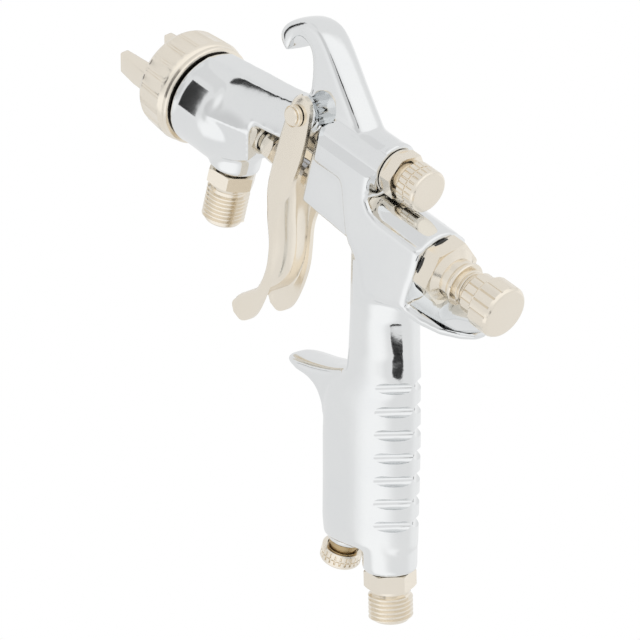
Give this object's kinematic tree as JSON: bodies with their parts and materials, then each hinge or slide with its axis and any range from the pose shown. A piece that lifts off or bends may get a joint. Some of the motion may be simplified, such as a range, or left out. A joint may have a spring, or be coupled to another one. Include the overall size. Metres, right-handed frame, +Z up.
{
  "type": "spray gun",
  "caption": "Pistol-grip suction-feed air spray gun with hanging hook, horned air cap, pressed trigger and screw adjusters for fluid, fan pattern and air.",
  "frame": {"origin": "crown of the hanging hook's inside, in the gun's middle plane", "axes": "+X is the spray direction along the needle, +Y the gun's left side, +Z up, square to the needle"},
  "size_m": [0.1595, 0.0326, 0.1578],
  "materials": {
    "gun_body": "chrome plated and polished",
    "air_cap": "bright nickel plate",
    "air_cap_ring": "bright nickel plate",
    "fluid_nozzle": "ground bright",
    "nozzle_gasket": "white PTFE",
    "fluid_nipple": "bright nickel plate",
    "fluid_nipple_gasket": "black rubber",
    "air_nipple": "bright nickel plate",
    "air_nipple_gasket": "black rubber",
    "fluid_needle": "ground bright",
    "needle_packing": "white PTFE",
    "packing_gland_nut": "bright nickel plate",
    "needle_collar": "plain turned brass",
    "trigger": "pressed sheet, bright nickel plate",
    "trigger_pivot_stud": "bright nickel plate",
    "trigger_pivot_screw": "bright nickel plate",
    "air_valve_stem": "ground bright",
    "air_valve_disc": "white PTFE",
    "air_valve_gland": "bright nickel plate",
    "air_valve_packing": "white PTFE",
    "air_valve_spring": "ground bright",
    "needle_spring": "ground bright",
    "fluid_guide": "bright nickel plate",
    "fluid_guide_gasket": "black rubber",
    "fluid_knob": "bright nickel plate",
    "fluid_spring_seat": "plain turned brass",
    "pattern_guide": "bright nickel plate",
    "pattern_spindle": "plain turned brass",
    "pattern_ring": "black rubber",
    "pattern_knob": "bright nickel plate",
    "pattern_knob_screw": "ground bright",
    "air_guide": "bright nickel plate",
    "air_spindle": "plain turned brass",
    "air_ring": "black rubber",
    "air_knob": "bright nickel plate",
    "air_knob_screw": "ground bright"
  },
  "bodies": {
    "gun": {"gun_body": "gun_body", "fluid_nozzle": "fluid_nozzle", "nozzle_gasket": "nozzle_gasket", "fluid_nipple": "fluid_nipple", "fluid_nipple_gasket": "fluid_nipple_gasket", "air_nipple": "air_nipple", "air_nipple_gasket": "air_nipple_gasket", "needle_packing": "needle_packing", "packing_gland_nut": "packing_gland_nut", "trigger_pivot_stud": "trigger_pivot_stud", "trigger_pivot_screw": "trigger_pivot_screw", "air_valve_gland": "air_valve_gland", "air_valve_packing": "air_valve_packing", "air_valve_spring": "air_valve_spring", "needle_spring": "needle_spring", "fluid_guide": "fluid_guide", "fluid_guide_gasket": "fluid_guide_gasket", "pattern_guide": "pattern_guide", "air_guide": "air_guide"},
    "trigger": {"trigger": "trigger"},
    "needle": {"fluid_needle": "fluid_needle", "needle_collar": "needle_collar"},
    "air_valve": {"air_valve_stem": "air_valve_stem", "air_valve_disc": "air_valve_disc"},
    "fluid_seat": {"fluid_spring_seat": "fluid_spring_seat"},
    "fluid_knob": {"fluid_knob": "fluid_knob"},
    "pattern_spindle": {"pattern_spindle": "pattern_spindle", "pattern_ring": "pattern_ring"},
    "pattern_knob": {"pattern_knob": "pattern_knob", "pattern_knob_screw": "pattern_knob_screw"},
    "air_spindle": {"air_spindle": "air_spindle", "air_ring": "air_ring"},
    "air_knob": {"air_knob": "air_knob", "air_knob_screw": "air_knob_screw"},
    "air_cap": {"air_cap": "air_cap"},
    "air_cap_ring": {"air_cap_ring": "air_cap_ring"}
  },
  "joints": [
    {"name": "trigger_pull", "type": "hinge", "parent": "gun", "child": "trigger", "pos_m": [-0.0092, 0, -0.0189], "axis": [0, 1, 0], "range_deg": [0, 14], "stiffness_Nm_per_rad": 1.2, "springref_deg": -5.73},
    {"name": "air_valve_slide", "type": "slide", "parent": "gun", "child": "air_valve", "axis": [-1, 0, 0], "range_m": [-0.00001, 0.0056], "deforming": ["air_valve_spring"]},
    {"name": "needle_slide", "type": "slide", "parent": "gun", "child": "needle", "axis": [-1, 0, 0], "range_m": [-0.00001, 0.0045], "deforming": ["needle_spring"]},
    {"name": "fluid_knob_travel", "type": "slide", "parent": "gun", "child": "fluid_seat", "axis": [-1, 0, 0], "range_m": [-0.003, 0.002]},
    {"name": "fluid_knob_turn", "type": "hinge", "parent": "fluid_seat", "child": "fluid_knob", "pos_m": [-0.092, 0, -0.0382], "axis": [-1, 0, 0], "range_deg": [-1081, 721]},
    {"name": "pattern_knob_travel", "type": "slide", "parent": "gun", "child": "pattern_spindle", "axis": [-1, 0, 0], "range_m": [-0.0015, 0.00225]},
    {"name": "pattern_knob_turn", "type": "hinge", "parent": "pattern_spindle", "child": "pattern_knob", "pos_m": [-0.0551, 0, -0.0208], "axis": [-1, 0, 0], "range_deg": [-721, 1081]},
    {"name": "air_knob_travel", "type": "slide", "parent": "gun", "child": "air_spindle", "axis": [0, 0, -1], "range_m": [-0.00047, 0.00225]},
    {"name": "air_knob_turn", "type": "hinge", "parent": "air_spindle", "child": "air_knob", "pos_m": [-0.0589, 0, -0.1445], "axis": [0, 0, -1], "range_deg": [-226, 1081]},
    {"name": "air_cap_turn", "type": "hinge", "parent": "gun", "child": "air_cap", "pos_m": [0.0395, 0, -0.0382], "axis": [1, 0, 0], "range_deg": [-90, 90]},
    {"name": "air_cap_ring_turn", "type": "hinge", "parent": "gun", "child": "air_cap_ring", "pos_m": [0.0395, 0, -0.0382], "axis": [1, 0, 0], "range_deg": [0, 90]}
  ],
  "couplings": [
    {"joint": "air_valve_slide", "follows": "trigger_pull", "m_per_rad": 0.0223},
    {"joint": "needle_slide", "follows": "trigger_pull", "m_per_rad": 0.0174},
    {"joint": "fluid_knob_turn", "follows": "fluid_knob_travel", "rad_per_m": 6283.2},
    {"joint": "pattern_knob_turn", "follows": "pattern_knob_travel", "rad_per_m": 8377.6},
    {"joint": "air_knob_turn", "follows": "air_knob_travel", "rad_per_m": 8377.6}
  ]
}
